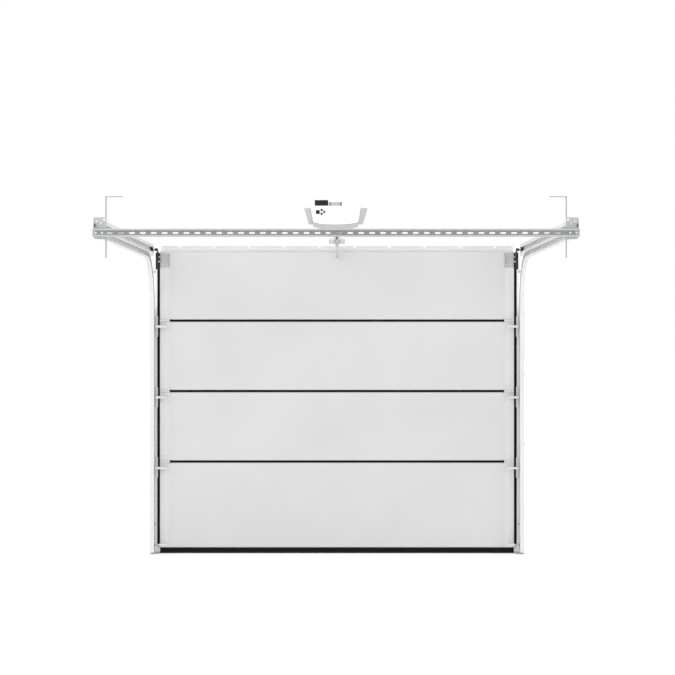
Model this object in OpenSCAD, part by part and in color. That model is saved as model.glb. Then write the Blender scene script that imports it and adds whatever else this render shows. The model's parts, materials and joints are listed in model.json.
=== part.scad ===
// Sectional garage door with its powered opener, seen from inside the garage.
// X runs along the doorway, +Y points out of the garage and +Z is up.
// The origin is on the floor, in the middle of the doorway, in the wall's inner face.

/* [Door leaf] */
// Width of the leaf over its end caps
leaf_w = 2510; // [2300:10:2600]
// Thickness of each section
leaf_t = 40; // [36:1:42]
// Height of the bottom section
bottom_h = 610; // [560:10:640]
// Height of each middle section
middle_h = 500; // [480:5:510]
// Height of the top section
top_h = 490; // [460:5:500]
// Height of the bottom seal with its retainer
seal_h = 40; // [34:1:46]
// Sheet thickness of a section's steel skin
skin_t = 0.6; // [0.5:0.1:0.8]
// Gap between two sections, filled by the joint seal
joint_gap = 15; // [10:1:16]
// Radius of the rolled edges of a section
edge_r = 9; // [6:1:12]
// Width of the steel cap at each end of a section
cap_w = 64; // [50:1:70]

/* [Hinges and rollers] */
// Height of the hinge's upper leaf above the joint
hinge_up = 45; // [40:1:60]
// Height of the hinge's lower leaf below the joint
hinge_down = 37; // [30:1:40]
// Distance of a roller's axis below its joint
roller_drop = 42; // [40:1:50]
// Radius of a roller's tyre
roller_r = 17.5; // [16:0.5:18]
// Radius of a roller's stem
stem_r = 5.5; // [4:0.5:6]
// Radial clearance of a running fit
run_fit = 0.05; // [0.02:0.01:0.1]

/* [Tracks] */
// Outside depth of a track across its channel
track_d = 45; // [44:1:48]
// Width of a track from its lips to its back
track_w = 28; // [26:1:30]
// Sheet thickness of the tracks
track_t = 1.5; // [1.2:0.1:2]
// Radius of the curved track's centre line
curve_r = 358; // [340:1:370]
// Length of the horizontal tracks from the wall
track_len = 2450; // [2300:10:2600]

/* [Crossbar and hangers] */
// Length of the rear crossbar
bar_len = 2675; // [2670:5:2720]
// Height of the rear crossbar
bar_h = 43; // [40:1:45]
// Distance between two slots of the crossbar
slot_pitch = 60; // [55:1:70]
// Height of the ceiling above the floor
ceiling_z = 2319; // [2290:1:2400]

/* [Opener] */
// Underside of the opener's rail above the floor
rail_z = 2200; // [2200:1:2220]
// Width of the opener's rail
rail_w = 46; // [40:1:50]
// Height of the opener's rail
rail_h = 40; // [36:1:44]
// Distance from the wall to the rear of the opener's head
head_back = 3110; // [3000:10:3200]
// Length of the opener's head
head_len = 320; // [300:5:340]
// Half width of the head at its top
head_half = 138; // [130:1:140]
// Height of the head's cover
head_h = 139; // [130:1:140]
// Radius of the round buttons
button_r = 5; // [3.5:0.5:5]

/* [Hidden] */
$fn = 48;
half_w = leaf_w / 2;
inner_y = -60;                         // inner face of the leaf
outer_y = inner_y + leaf_t;            // outer face of the leaf
cap_t = 1.5;                           // sheet of the end caps
cap_y = inner_y - cap_t;               // face of the end caps, where fittings sit
joints = [for (i = [0:2]) seal_h + bottom_h + i * middle_h];   // 650, 1150, 1650
leaf_top = joints[2] + top_h;          // 2140
sections = concat([seal_h], joints, [leaf_top]);
gap = joint_gap / 2;
hinge_y = inner_y - 12;                // axis of the hinges
hinge_r = 7;
pin_r = 4;
track_y = -105;                        // centre line of the vertical tracks
top_z = 2148;                          // centre line of the upper tracks
top_y = -150;                          // axis of the top rollers at rest
low_z = top_z - 46;                    // centre line of the lower tracks
curve_y = track_y - curve_r;           // centre of the track's curve
curve_z = low_z - curve_r;
track_x = 1290;                        // lips of the tracks
flange_h = 14;                         // upturned flange of the upper tracks
back_x = track_x + track_w;
post_x = 1256;                         // inner edge of the wall posts
post_w = 66;
post_h = 2196;
roller_levels = [for (j = joints) j - roller_drop];
base_level = 66;                       // axis of the bottom rollers
stem_x = 1204;                         // inner end of a stem
stem_end = 1310;
bar_y = -track_len;
bar_z = 2087;                          // underside of the crossbar
belt_z = rail_z + 14;
belt_h = 10;
pulley_r = 12;
drive_y = -2860;                       // axis of the drive sprocket
idler_y = -120;                        // axis of the idler pulley
arm_y = -330;                          // arm's pivot on the trolley
arm_z = rail_z - 32;
lug_y = -78;                           // arm's pin on the top section
lug_z = 2102;
head_y0 = -head_back;
head_y1 = -head_back + head_len;
head_top = rail_z + rail_h + 4;        // 2244
wall = 3;                              // wall of the head's mouldings

WHITE = [0.93, 0.93, 0.93];
PALE = [0.86, 0.86, 0.86];
ZINC = [0.74, 0.75, 0.75];
STEEL = [0.62, 0.63, 0.64];
CREAM = [0.80, 0.79, 0.76];
BLACK = [0.07, 0.07, 0.08];
SMOKE = [0.60, 0.62, 0.64];

// ---------- shared shapes ----------

// Both sides of the door: the right one and its mirror image
module both_sides() { children(); mirror([1, 0, 0]) children(); }

// Extrudes a Y-Z outline along +X from x0
module along_x(x0, length) {
    translate([x0, 0, 0]) rotate([90, 0, 90]) linear_extrude(length) children();
}

// Rod along X
module rod_x(x0, x1, y, z, r) {
    translate([x0, y, z]) rotate([0, 90, 0]) cylinder(r = r, h = x1 - x0);
}

// Rod along Y
module rod_y(y0, y1, x, z, r) {
    translate([x, y1, z]) rotate([90, 0, 0]) cylinder(r = r, h = y1 - y0);
}

// Block between two corners
module block(a, b) { translate(a) cube(b - a); }

// Rectangle with round corners, from [x0, y0]
module round_rect(x0, y0, w, h, r) {
    translate([x0 + r, y0]) square([w - 2 * r, h]);
    translate([x0, y0 + r]) square([w, h - 2 * r]);
    for (x = [x0 + r, x0 + w - r], y = [y0 + r, y0 + h - r]) translate([x, y]) circle(r);
}

// Outline of a track: [across, along X], open on the lips' side
module track_outline() {
    lip = 7;
    half = track_d / 2;
    translate([-half, track_w - track_t]) square([track_d, track_t]);
    for (s = [-1, 1]) {
        translate([s > 0 ? half - track_t : -half, 0]) square([track_t, track_w]);
        translate([s > 0 ? half - lip : -half, 0]) square([lip, track_t]);
    }
}

// Straight upright stretch of track
module upright_track(z0, z1) {
    translate([track_x, track_y, z0])
        linear_extrude(z1 - z0) mirror([1, -1]) track_outline();
}

// Level stretch of track
module level_track(z, y0, y1) {
    translate([track_x, y1, z]) rotate([90, 0, 0])
        linear_extrude(y1 - y0) mirror([1, -1]) track_outline();
}

// ---------- frame fixed to the building ----------

module post() {
    difference() {
        union() {
            block([post_x, -2.5, 0], [post_x + post_w, 0, post_h]);
            block([back_x, track_y - 14, 12], [back_x + 2.5, 0, curve_z]);
            block([post_x, track_y - 14, 0], [post_x + post_w, 0, 4]);
        }
        for (z = [200, 1100, 2000]) rod_y(-5, 5, post_x + 46, z, 5);
    }
}
module wall_posts() { color(PALE) both_sides() post(); }

module vertical_track_right() { color(ZINC) upright_track(14, curve_z); }
module vertical_track_left() { mirror([1, 0, 0]) vertical_track_right(); }

module curved_track_right() {
    color(ZINC) translate([track_x, curve_y, curve_z]) rotate([90, 0, 90])
        rotate_extrude(angle = 90, $fn = 96) translate([curve_r, 0]) track_outline();
}
module curved_track_left() { mirror([1, 0, 0]) curved_track_right(); }

module lower_track_right() { color(ZINC) level_track(low_z, bar_y + 3, curve_y); }
module lower_track_left() { mirror([1, 0, 0]) lower_track_right(); }

module upper_track_right() {
    color(ZINC) {
        level_track(top_z, bar_y + 3, -112);
        // down-turned stop at the door's end
        block([track_x + 4, -112, top_z - 44], [back_x, -109, top_z + track_d / 2]);
        // upturned flange over the lips
        block([track_x, bar_y + 3, top_z + track_d / 2 - 1],
            [track_x + track_t, -112, top_z + track_d / 2 + flange_h]);
    }
}
module upper_track_left() { mirror([1, 0, 0]) upper_track_right(); }

module door_seals() {
    color(BLACK) {
        both_sides() {
            block([post_x + 1, -14, 44], [post_x + 24, -2.5, leaf_top - 8]);
            block([post_x + 6, -52, 44], [post_x + 9, -14, leaf_top - 8]);
        }
        block([-half_w + 5, -17, leaf_top - 14], [half_w - 5, -2.5, leaf_top - 1]);
    }
}

module lintel_strip() {
    color(PALE) difference() {
        union() {
            block([-post_x + 1, -2.5, leaf_top - 14], [post_x - 1, 0, leaf_top + 42]);
            block([-post_x + 1, -16, leaf_top + 39.5], [post_x - 1, 0, leaf_top + 42]);
        }
        for (i = [-5:4]) rod_y(-5, 5, (i + 0.5) * 250, leaf_top + 33, 4.5);
    }
}

module rear_crossbar() {
    web = 2;
    depth = 28;
    slots = floor((bar_len / 2 - 60) / slot_pitch);
    shift = 18;                        // of the middle slot from the bar's middle
    color(ZINC) difference() {
        union() {
            block([-bar_len / 2, bar_y - web, bar_z], [bar_len / 2, bar_y, bar_z + bar_h]);
            for (z = [bar_z, bar_z + bar_h - web])
                block([-bar_len / 2, bar_y - depth, z], [bar_len / 2, bar_y, z + web]);
            for (z = [bar_z, bar_z + bar_h - 9])
                block([-bar_len / 2, bar_y - depth, z], [bar_len / 2, bar_y - depth + web, z + 9]);
        }
        for (i = [-slots:slots - 1]) translate([i * slot_pitch + shift, bar_y + 1, bar_z + bar_h / 2])
            rotate([90, 0, 0]) linear_extrude(web + 2) {
                square([22, 10], center = true);
                for (s = [-1, 1]) translate([s * 11, 0]) circle(5);
            }
    }
}

module corner_plates() {
    x0 = 1262;
    z0 = 2070;
    color(ZINC) both_sides() difference() {
        union() {
            translate([0, bar_y + 2.5, 0]) rotate([90, 0, 0]) linear_extrude(2.5)
                polygon([[x0, z0 + 125], [x0, z0 + 10], [x0 + 10, z0 + 5], [x0 + 62, z0 + 5],
                    [x0 + 72, z0 + 18], [x0 + 72, z0 + 120], [x0 + 67, z0 + 125]]);
            // side flange beside the tracks
            block([back_x + 0.2, bar_y, low_z - 20], [back_x + 3, bar_y + 90, top_z + 24]);
        }
        rod_y(bar_y - 5, bar_y + 5, x0 + 13, z0 + 112, 6.5);
    }
}

// Perforated strap from the ceiling down past the tracks' end, one on each side
module ceiling_hangers() {
    x = 1280;
    y0 = bar_y + 95;
    strap_w = 30;
    color(ZINC) both_sides() difference() {
        union() {
            block([x, y0, 1976], [x + 2.5, y0 + strap_w, ceiling_z]);
            block([x - 92, y0, ceiling_z - 2.5], [x + 2.5, y0 + strap_w, ceiling_z]);
            // spacer between the strap and the upper track's flange
            block([x, y0, top_z + 29], [track_x - 0.1, y0 + strap_w, top_z + 35]);
        }
        for (i = [0:10]) rod_x(x - 1, x + 4, y0 + strap_w / 2, 1990 + i * 26, 4);
        for (i = [0, 1]) translate([x - 72 + i * 40, y0 + strap_w / 2, ceiling_z - 5])
            cylinder(r = 4.5, h = 10);
    }
}

// Hexagon head bolts along the frame
module hex_x(x, y, z) { translate([x, y, z]) rotate([0, 90, 0]) cylinder(r = 7, h = 4, $fn = 6); }
module frame_bolts() {
    color(STEEL) {
        both_sides() {
            for (z = [300, 780, 1275, 1700]) hex_x(back_x + 2.5, track_y + 30, z);
            for (z = [low_z, top_z], y = [20, 70]) hex_x(back_x + 3, bar_y + y, z);
        }
        for (s = [-1, 1], x = [1285, 1320]) translate([s * x, bar_y - 2, bar_z + bar_h / 2])
            rotate([90, 0, 0]) cylinder(r = 8, h = 5, $fn = 6);
    }
}

// ---------- opener, fixed part ----------

module header_bracket() {
    color(ZINC) difference() {
        union() {
            block([-58, -4, rail_z - 3], [58, 0, rail_z + 37]);
            for (s = [-1, 1])
                block([s > 0 ? 23.5 : -27, -60, rail_z], [s > 0 ? 27 : -23.5, -4, rail_z + 37]);
            rod_x(-31, 31, -40, rail_z + 32, 3.5);
        }
        for (s = [-1, 1]) rod_y(-6, 1, s * 50, rail_z + 17, 4.5);
    }
}

// Channel with its slot underneath, and the axle of the idler pulley
module opener_rail() {
    t = 2;
    slot = 16;
    color(ZINC) {
        difference() {
            block([-rail_w / 2, head_y1 - 40, rail_z], [rail_w / 2, -18, rail_z + rail_h]);
            block([-rail_w / 2 + t, head_y1 - 50, rail_z + t],
                [rail_w / 2 - t, 0, rail_z + rail_h - t]);
            block([-slot / 2, head_y1 - 50, rail_z - 1], [slot / 2, 0, rail_z + t + 1]);
            rod_x(-30, 30, -40, rail_z + 32, 3.6);
        }
        translate([0, idler_y, belt_z - 4]) cylinder(r = 4, h = rail_z + rail_h - t - belt_z + 5);
    }
}

module stadium(r) {
    for (y = [drive_y, idler_y]) translate([0, y]) circle(r);
    translate([-r, drive_y]) square([2 * r, idler_y - drive_y]);
}
module drive_belt() {
    color(BLACK) translate([0, 0, belt_z]) linear_extrude(belt_h) difference() {
        stadium(pulley_r + 2.2);
        stadium(pulley_r + 0.3);
    }
}

// Saddle that holds the rail on the rear crossbar
module rail_clamp() {
    half = rail_w / 2 + 0.2;
    color(PALE) difference() {
        union() {
            block([-34, bar_y, bar_z + 4], [34, bar_y + 3, rail_z + rail_h + 4]);
            block([-34, bar_y, rail_z - 3.2], [34, bar_y + 46, rail_z - 0.2]);
            for (s = [-1, 1])
                block([s > 0 ? half : -34, bar_y, rail_z - 3.2],
                    [s > 0 ? 34 : -half, bar_y + 46, rail_z + 3]);
        }
        block([-half, bar_y - 1, rail_z - 0.2], [half, bar_y + 50, rail_z + rail_h + 0.2]);
    }
}

// Boat-shaped outline across the head: [half width at the top, half width low down, depth]
function boat(top_half, low_half, depth, top) = concat(
    [[-top_half, top], [top_half, top]],
    [for (i = [0:24]) let (a = i * 180 / 24) [low_half * cos(a), boat_z - depth * sin(a)]]);
module along_y(y0, y1) { translate([0, y1, 0]) rotate([90, 0, 0]) linear_extrude(y1 - y0) children(); }
side_h = 122;                          // height of the head's slanted sides
boat_z = head_top - side_h;            // where the sides turn into the shallow bottom
boat_half = head_half - 21;
boat_depth = head_h - side_h;

module head_base() {
    color(PALE) {
        block([-head_half + 4, head_y0 + 4, head_top - 3], [head_half - 4, head_y1 - 4, head_top]);
        for (x = [-105, 105], y = [head_y0 + 40, head_y1 - 40])
            translate([x, y, head_top - 40]) cylinder(r = 5, h = 38);
    }
}

module head_cover() {
    face = head_y0;
    color(WHITE) difference() {
        along_y(head_y0, head_y1) polygon(boat(head_half, boat_half, boat_depth, head_top));
        along_y(head_y0 + wall, head_y1 - wall)
            polygon(boat(head_half - wall, boat_half - wall, boat_depth - wall, head_top + 1));
        // way in for the rail
        block([-rail_w / 2 - 1, head_y1 - 5, rail_z - 1],
            [rail_w / 2 + 1, head_y1 + 1, head_top + 1]);
        // button holes, groove and inlet
        block([-99.8, face - 1, 2159.7], [-81.2, face + 4, 2178.3]);
        for (p = round_buttons) rod_y(face - 1, face + 4, p[0], p[1], button_r + 0.4);
        block([-98, face - 1, 2140], [-58, face + 1, 2142]);
        block([68, head_y1 - 4, 2160], [102, head_y1 + 1, 2186]);
    }
}
round_buttons = [[-71, 2180], [-58, 2170], [-71, 2160]];

// Translucent lamp cover: a wing along each side of the head, joined by a thin pan
module lamp_lenses() {
    pan_t = 2.5;
    top = head_top - 54;
    toe = head_top - 114;
    wing = [[head_half + 22, top], [head_half + 4, toe], [boat_half - 5, toe], [boat_half - 4, top]];
    color(SMOKE) along_y(head_y0 + 8, head_y1 - 8) difference() {
        union() {
            polygon(wing);
            mirror([1, 0]) polygon(wing);
            intersection() {
                polygon(boat(head_half + pan_t, boat_half + pan_t, boat_depth + pan_t, head_top));
                translate([-head_half, head_top - head_h - pan_t])
                    square([2 * head_half, toe + 6 - (head_top - head_h - pan_t)]);
            }
        }
        polygon(boat(head_half + 0.3, boat_half + 0.3, boat_depth + 0.3, head_top));
    }
}

module motor() {
    color(STEEL) difference() {
        union() {
            block([-36, drive_y - 50, rail_z - 62], [36, drive_y + 45, rail_z - 8]);
            rod_y(drive_y - 140, drive_y - 50, 0, rail_z - 36, 25);
        }
        translate([0, drive_y, rail_z - 45]) cylinder(r = 5 + run_fit, h = 60);
    }
}
module transformer() {
    color([0.45, 0.40, 0.36]) block([-104, drive_y - 120, 2152], [-48, drive_y - 40, 2206]);
}
module control_board() {
    color([0.10, 0.35, 0.18]) block([-112, head_y0 + 9, 2146], [-30, head_y0 + 10.6, 2234]);
}
module display_window() {
    color(BLACK) block([-106, head_y0 - 1.5, 2201.5], [-38.5, head_y0, 2229.5]);
}
module cover_strip() {
    color([0.25, 0.26, 0.27]) block([-33.5, head_y0 - 1, 2201.5], [31, head_y0, 2219]);
}
module inlet_socket() {
    color(BLACK) difference() {
        block([69, head_y1 - 12, 2161], [101, head_y1 + 3, 2185]);
        block([73, head_y1 - 8, 2165], [97, head_y1 + 4, 2181]);
    }
}

// ---------- door ----------

// Steel skin of a section, drawn without its foam core
module section(z0, z1) {
    color(PALE) along_x(-half_w + cap_t + 0.3, leaf_w - 2 * cap_t - 0.6) difference() {
        round_rect(inner_y, z0, leaf_t, z1 - z0, edge_r);
        round_rect(inner_y + skin_t, z0 + skin_t, leaf_t - 2 * skin_t, z1 - z0 - 2 * skin_t,
            edge_r - skin_t);
    }
}
module caps(z0, z1) {
    color(CREAM) both_sides() {
        block([half_w - cap_t, cap_y, z0 + 2], [half_w, outer_y, z1 - 2]);
        block([half_w - cap_w, cap_y, z0 + edge_r], [half_w, inner_y, z1 - edge_r]);
    }
}
module joint_seal(z) {
    color(BLACK) block([-half_w + cap_w + 4, inner_y + 2.5, z - gap + 0.3],
        [half_w - cap_w - 4, outer_y - 6, z + gap - 0.3]);
}
module top_section() { section(joints[2] + gap, leaf_top); }
module top_caps() { caps(joints[2] + gap, leaf_top); }
function lower_edge(i) = sections[i] + (i > 0 ? gap : 0);
module lower_sections() { for (i = [0:2]) section(lower_edge(i), joints[i] - gap); }
module lower_caps() { for (i = [0:2]) caps(lower_edge(i), joints[i] - gap); }
module top_joint_seal() { joint_seal(joints[2]); }
module lower_joint_seals() { for (i = [0, 1]) joint_seal(joints[i]); }

// One leaf of a side hinge, with its knuckles: up = 1 above the joint, -1 below
module hinge_leaf(z, up) {
    knuckles = up > 0 ? [[1206, 1235]] : [[1188, 1204], [1237, 1253]];
    reach = up > 0 ? hinge_up : hinge_down;
    z0 = up > 0 ? z + 2 : z - reach;
    z1 = up > 0 ? z + reach : z - 2;
    block([1186, cap_y - 2, z0], [half_w, cap_y, z1]);
    for (k = knuckles) difference() {
        union() {
            rod_x(k[0], k[1], hinge_y, z, hinge_r);
            block([k[0], hinge_y, up > 0 ? z + 3 : z - 6.5], [k[1], cap_y, up > 0 ? z + 6.5 : z - 3]);
        }
        if (up < 0) rod_x(k[0] - 1, k[1] + 1, hinge_y, z, pin_r + run_fit);
    }
}
module hinge_pin(z) { rod_x(1187, 1254, hinge_y, z, pin_r); }
module hinge_upper_leaves() {
    color(CREAM) both_sides() {
        hinge_leaf(joints[2], 1);
        hinge_pin(joints[2]);
    }
}
module side_hinges() {
    color(CREAM) both_sides() {
        hinge_leaf(joints[2], -1);
        for (i = [0, 1]) {
            hinge_leaf(joints[i], 1);
            hinge_leaf(joints[i], -1);
            hinge_pin(joints[i]);
        }
    }
}

// Sleeve on two lugs that carries a stem at height z and ends at x = reach
module sleeve(z, reach) {
    difference() {
        union() {
            rod_x(stem_x, reach, track_y, z, 8.5);
            for (x = [1208, 1242]) block([x, track_y, z - 8], [x + 4, cap_y - 1, z + 3.5]);
        }
        rod_x(stem_x - 1, 1290, track_y, z, stem_r + run_fit);
    }
}
module roller_holders() {
    color(CREAM) both_sides() for (j = joints) {
        sleeve(j - roller_drop, 1287);
        block([1190, cap_y - 2.5, j - 78], [1250, cap_y, j - 38.5]);
        block([1246, cap_y - 4.5, j - 50], [1271, cap_y - 1.5, j - 38.5]);
        block([1270, cap_y - 4.5, j - 114], [1296, cap_y - 1.5, j + 31]);
    }
}
module base_brackets() {
    color(CREAM) both_sides() {
        sleeve(base_level, 1256);
        block([1190, cap_y - 2.5, seal_h + 3], [1254, cap_y, 160]);
    }
}
module stem(x0, y, z) { rod_x(x0, stem_end, y, z, stem_r); }
module roller_stems() {
    color(STEEL) both_sides() for (z = concat([base_level], roller_levels)) stem(stem_x, track_y, z);
}
module top_stems() { color(STEEL) both_sides() stem(1257, top_y, top_z); }

// Wheel on its stem, with a raised hub
module roller_pair(y, z) {
    color(BLACK) both_sides() difference() {
        union() {
            rod_x(1296, 1308, y, z, roller_r);
            rod_x(1293, 1309, y, z, 9);
        }
        rod_x(1290, 1312, y, z, stem_r + run_fit);
    }
}
module rollers_top() { roller_pair(top_y, top_z); }
module rollers_upper() { roller_pair(track_y, roller_levels[2]); }
module rollers_middle() { roller_pair(track_y, roller_levels[1]); }
module rollers_lower() { roller_pair(track_y, roller_levels[0]); }
module rollers_base() { roller_pair(track_y, base_level); }

// Folded bracket on the top corners
module top_brackets() {
    color(ZINC) both_sides() {
        block([1190, cap_y - 2, 2027], [1252, cap_y, 2128]);
        for (x = [1190, 1249.5]) block([x, cap_y - 14, 2027], [x + 2.5, cap_y, 2128]);
    }
}
// Arm that reaches from the top bracket up to the top roller's stem
module top_arms() {
    color(BLACK) both_sides() difference() {
        union() {
            block([1252.2, -80, 2056], [1255.2, cap_y - 1, 2112]);
            block([1252.2, -80, 2056], [1266, -76, 2112]);
            block([1262, -80, 2012], [1284, -76, 2133]);
            along_x(1262, 4) polygon([[-80, 2080], [-76, 2133], [top_y + 5, top_z + 14],
                [top_y - 14, top_z + 8], [top_y - 10, top_z - 14]]);
            rod_x(1260, 1282, top_y, top_z, 10);
        }
        rod_x(1230, 1290, top_y, top_z, stem_r + run_fit);
    }
}

module seal_retainer() {
    color([0.20, 0.20, 0.21]) block([-half_w, inner_y + 1, seal_h - 12], [half_w, outer_y - 1, seal_h]);
}
module bottom_seal() {
    color(BLACK) along_x(-half_w, leaf_w) difference() {
        round_rect(inner_y + 3, 0, leaf_t - 6, seal_h - 12, 8);
        round_rect(inner_y + 7, 4, leaf_t - 14, seal_h - 20, 5);
    }
}

// Bracket on the top section that takes the door arm
module arm_bracket() {
    color(CREAM) {
        block([-30, inner_y - 2, 2072], [30, inner_y, 2128]);
        for (x = [-8, 4]) {
            block([x, lug_y, lug_z - 10], [x + 4, inner_y, lug_z + 10]);
            rod_x(x, x + 4, lug_y, lug_z, 10);
        }
        rod_x(-11, 11, lug_y, lug_z, pin_r);
    }
}

// ---------- opener, moving part ----------

arm_len = sqrt(pow(lug_y - arm_y, 2) + pow(arm_z - lug_z, 2));
arm_angle = atan2(arm_z - lug_z, lug_y - arm_y);
latch_y = arm_y - 48;                  // pivot of the release lever
latch_z = rail_z - 22;

module trolley() {
    color(PALE) {
        block([-30, arm_y - 60, rail_z - 16], [30, arm_y + 60, rail_z - 0.8]);
        block([-6, arm_y - 50, rail_z - 1], [6, arm_y + 50, rail_z + 4]);
        block([-18, arm_y - 50, rail_z + 2.8], [18, arm_y + 50, rail_z + 9]);
        for (x = [-8, 4]) {
            block([x, arm_y - 12, arm_z], [x + 4, arm_y + 12, rail_z - 15]);
            rod_x(x, x + 4, arm_y, arm_z, 12);
        }
        rod_x(-11, 11, arm_y, arm_z, 5);
        for (x = [-9, 6]) {
            block([x, latch_y - 7, latch_z - 7], [x + 3, latch_y + 7, rail_z - 15]);
        }
        rod_x(-10, 10, latch_y, latch_z, 3);
    }
}

module release_lever() {
    color(SMOKE) difference() {
        union() {
            block([-5, latch_y - 60, latch_z - 4], [5, latch_y, latch_z + 4]);
            rod_x(-5, 5, latch_y, latch_z, 5);
            block([-4, latch_y - 36, latch_z], [4, latch_y - 28, latch_z + 16]);
        }
        rod_x(-6, 6, latch_y, latch_z, 3 + run_fit);
        translate([0, latch_y - 53, latch_z - 6]) cylinder(r = 2.5, h = 12);
    }
}

module door_arm() {
    color(STEEL) translate([0, arm_y, arm_z]) rotate([-arm_angle, 0, 0]) difference() {
        union() {
            block([-3, 0, -10], [3, arm_len, 10]);
            rod_x(-3, 3, 0, 0, 10);
            rod_x(-3, 3, arm_len, 0, 10);
        }
        rod_x(-4, 4, 0, 0, 5 + run_fit);
        rod_x(-4, 4, arm_len, 0, pin_r + 2);
        for (i = [1:6]) rod_x(-4, 4, i * arm_len / 7, 0, 3.5);
    }
}

// Clamp on the belt, with the pocket that the release lever's tooth fits
module belt_connector() {
    y0 = latch_y - 48;
    y1 = latch_y - 18;
    color(STEEL) difference() {
        union() {
            block([6, y0, rail_z + 3], [19, y1, belt_z + belt_h + 3]);
            block([-7, y0, rail_z + 3], [19, y1, rail_z + 10]);
            block([-7, y0, rail_z - 14], [7, y1, rail_z + 4]);
        }
        block([pulley_r, y0 - 1, belt_z - 0.3], [pulley_r + 2.5, y1 + 1, belt_z + belt_h + 0.3]);
        block([-5, latch_y - 41, rail_z - 15], [5, latch_y - 27, rail_z - 4]);
    }
}

module drive_sprocket() {
    color(STEEL) {
        difference() {
            translate([0, drive_y, belt_z + 0.5]) cylinder(r = pulley_r, h = belt_h - 1);
            for (i = [0:13]) translate([0, drive_y, belt_z]) rotate([0, 0, i * 360 / 14])
                translate([pulley_r + 0.4, 0, 0]) cylinder(r = 1.3, h = belt_h);
        }
        translate([0, drive_y, rail_z - 44]) cylinder(r = 5, h = belt_z + belt_h - rail_z + 44);
    }
}
module idler_pulley() {
    color(BLACK) translate([0, idler_y, belt_z + 0.5]) difference() {
        cylinder(r = pulley_r, h = belt_h - 1);
        translate([0, 0, -1]) cylinder(r = 4 + run_fit, h = belt_h + 2);
    }
}

module square_button() {
    color(BLACK) block([-99.5, head_y0 - 3, 2160], [-81.5, head_y0 + 6, 2178]);
}
module round_button(p) { rod_y(head_y0 - 3, head_y0 + 6, p[0], p[1], button_r); }
module up_button() { color(BLACK) round_button(round_buttons[0]); }
module centre_button() { color(BLACK) round_button(round_buttons[1]); }
module down_button() { color(BLACK) round_button(round_buttons[2]); }

// ---------- drawing ----------

wall_posts();
vertical_track_left();
vertical_track_right();
curved_track_left();
curved_track_right();
lower_track_left();
lower_track_right();
upper_track_left();
upper_track_right();
door_seals();
lintel_strip();
rear_crossbar();
corner_plates();
ceiling_hangers();
frame_bolts();
header_bracket();
opener_rail();
drive_belt();
rail_clamp();
head_base();
head_cover();
lamp_lenses();
motor();
transformer();
control_board();
display_window();
cover_strip();
inlet_socket();
top_stems();
rollers_top();
rollers_upper();
rollers_middle();
rollers_lower();
rollers_base();
top_section();
top_caps();
top_brackets();
top_arms();
hinge_upper_leaves();
top_joint_seal();
arm_bracket();
lower_sections();
lower_caps();
side_hinges();
lower_joint_seals();
roller_holders();
roller_stems();
base_brackets();
seal_retainer();
bottom_seal();
trolley();
release_lever();
door_arm();
belt_connector();
drive_sprocket();
idler_pulley();
square_button();
up_button();
centre_button();
down_button();
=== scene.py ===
import json
import math

import bmesh
import bpy
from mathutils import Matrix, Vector

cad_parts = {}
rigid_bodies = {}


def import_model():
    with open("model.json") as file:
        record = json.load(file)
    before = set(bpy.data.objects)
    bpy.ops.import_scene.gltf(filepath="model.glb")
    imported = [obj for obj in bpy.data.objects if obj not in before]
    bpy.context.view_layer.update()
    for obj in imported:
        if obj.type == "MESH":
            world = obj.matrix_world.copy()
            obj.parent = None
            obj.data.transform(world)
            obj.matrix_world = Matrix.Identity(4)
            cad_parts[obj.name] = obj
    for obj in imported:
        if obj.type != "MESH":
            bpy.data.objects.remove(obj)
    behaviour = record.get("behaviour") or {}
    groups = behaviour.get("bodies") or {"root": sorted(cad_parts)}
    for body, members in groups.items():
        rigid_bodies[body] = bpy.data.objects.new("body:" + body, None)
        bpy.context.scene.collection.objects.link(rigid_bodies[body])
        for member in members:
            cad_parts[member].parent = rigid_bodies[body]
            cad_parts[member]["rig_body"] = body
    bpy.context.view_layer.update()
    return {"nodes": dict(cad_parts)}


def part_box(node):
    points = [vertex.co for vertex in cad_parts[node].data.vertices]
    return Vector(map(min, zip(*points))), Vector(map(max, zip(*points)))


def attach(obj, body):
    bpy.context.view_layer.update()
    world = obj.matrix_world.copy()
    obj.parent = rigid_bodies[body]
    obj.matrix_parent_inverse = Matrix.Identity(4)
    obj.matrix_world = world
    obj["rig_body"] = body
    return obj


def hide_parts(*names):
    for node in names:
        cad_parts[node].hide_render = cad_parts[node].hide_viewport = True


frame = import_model()

# ---------------------------------------------------------------------------
# Viewpoint. A level camera stands well back inside the garage at chest height
# and looks straight at the middle of the closed door.
# ---------------------------------------------------------------------------
leaf_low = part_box("top_section")[0]
EYE_ASIDE, EYE_BACK, EYE_HEIGHT = 0.022, 10.60, 1.548
eye = Vector((EYE_ASIDE, leaf_low.y - EYE_BACK, EYE_HEIGHT))
lens_data = bpy.data.cameras.new("garage_camera")
lens_data.lens = 79.7
lens_data.sensor_width = 36.0
lens_data.shift_x = -0.00385
lens_data.shift_y = -0.0037
lens_data.clip_end = 100.0
garage_camera = bpy.data.objects.new("garage_camera", lens_data)
garage_camera.location = eye
garage_camera.rotation_euler = (math.radians(90.0), 0.0, 0.0)
bpy.context.scene.collection.objects.link(garage_camera)
bpy.context.scene.camera = garage_camera

# ---------------------------------------------------------------------------
# Studio. A white room lights everything evenly, and one large soft lamp from
# above left and one weak one from the right give the leaf its faint shading.
# ---------------------------------------------------------------------------
studio = bpy.data.worlds.new("studio")
studio.use_nodes = True
studio.node_tree.nodes["Background"].inputs["Color"].default_value = (1.0, 1.0, 1.0, 1.0)
studio.node_tree.nodes["Background"].inputs["Strength"].default_value = 1.0
bpy.context.scene.world = studio
bpy.context.scene.view_settings.view_transform = "Standard"


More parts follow.
